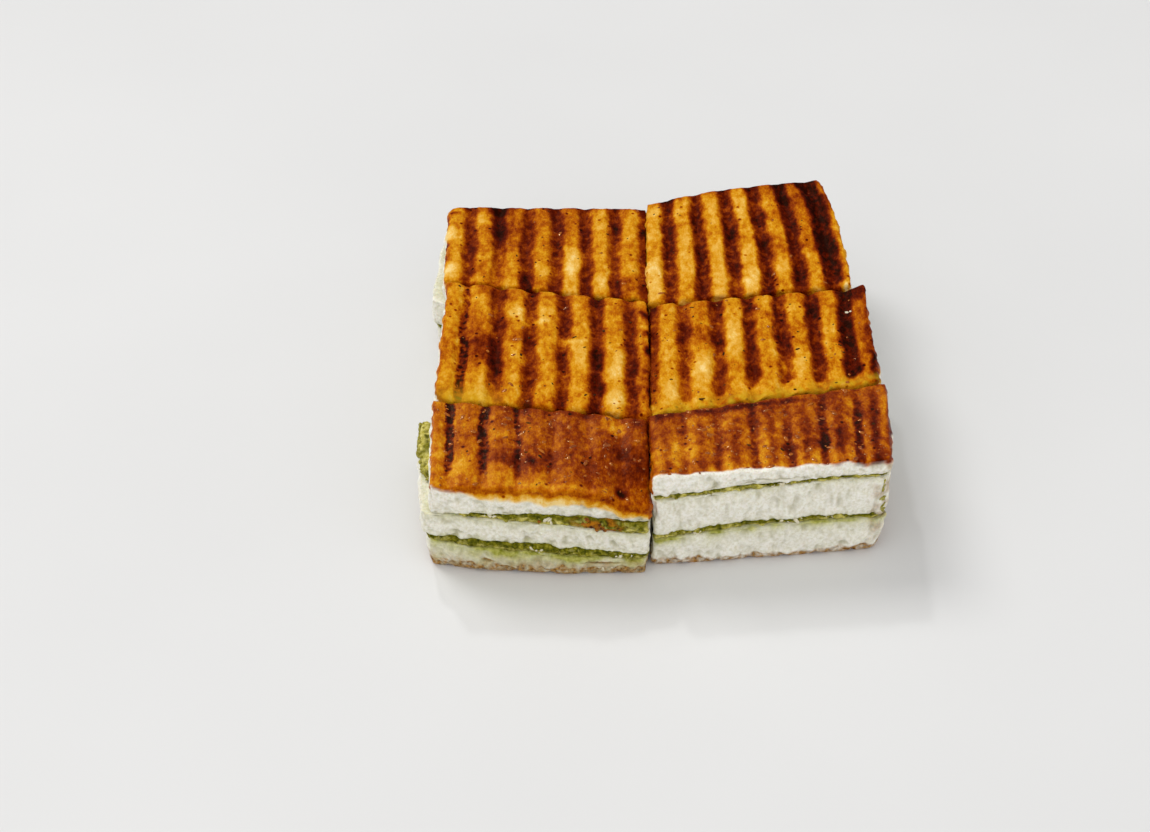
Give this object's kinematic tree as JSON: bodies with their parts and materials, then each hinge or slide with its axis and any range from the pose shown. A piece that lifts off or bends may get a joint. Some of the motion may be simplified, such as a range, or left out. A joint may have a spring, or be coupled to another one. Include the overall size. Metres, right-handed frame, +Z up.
{
  "type": "cheese sandwich",
  "caption": "Grilled white-bread sandwich with green chutney layers and pressed grill marks, cut into rectangular pieces that lie together as one block.",
  "frame": {"origin": "under the middle of the block's outline, on the surface that it stands on", "axes": "+X to the right and +Y to the back as the sandwich faces the viewer, +Z up through its layers"},
  "size_m": [0.123, 0.132, 0.0333],
  "materials": {
    "toasted_bread": "toasted golden-brown bread with a buttery gloss and dark grill marks",
    "bread_crumb": "matt open white crumb on the cut faces",
    "green_chutney": "moist coarse green herb chutney"
  },
  "bodies": {
    "root": {"front_left_bread_bottom": "bread_crumb", "front_left_chutney_lower": "green_chutney", "front_left_bread_middle": "bread_crumb", "front_left_chutney_upper": "green_chutney", "front_left_bread_top": "toasted_bread", "front_right_bread_bottom": "bread_crumb", "front_right_chutney_lower": "green_chutney", "front_right_bread_middle": "bread_crumb", "front_right_chutney_upper": "green_chutney", "front_right_bread_top": "toasted_bread", "middle_left_bread_bottom": "bread_crumb", "middle_left_chutney_lower": "green_chutney", "middle_left_bread_middle": "bread_crumb", "middle_left_chutney_upper": "green_chutney", "middle_left_bread_top": "toasted_bread", "middle_right_bread_bottom": "bread_crumb", "middle_right_chutney_lower": "green_chutney", "middle_right_bread_middle": "bread_crumb", "middle_right_chutney_upper": "green_chutney", "middle_right_bread_top": "toasted_bread", "back_left_bread_bottom": "bread_crumb", "back_left_chutney_lower": "green_chutney", "back_left_bread_middle": "bread_crumb", "back_left_chutney_upper": "green_chutney", "back_left_bread_top": "toasted_bread", "back_right_bread_bottom": "bread_crumb", "back_right_chutney_lower": "green_chutney", "back_right_bread_middle": "bread_crumb", "back_right_chutney_upper": "green_chutney", "back_right_bread_top": "toasted_bread"}
  },
  "joints": []
}
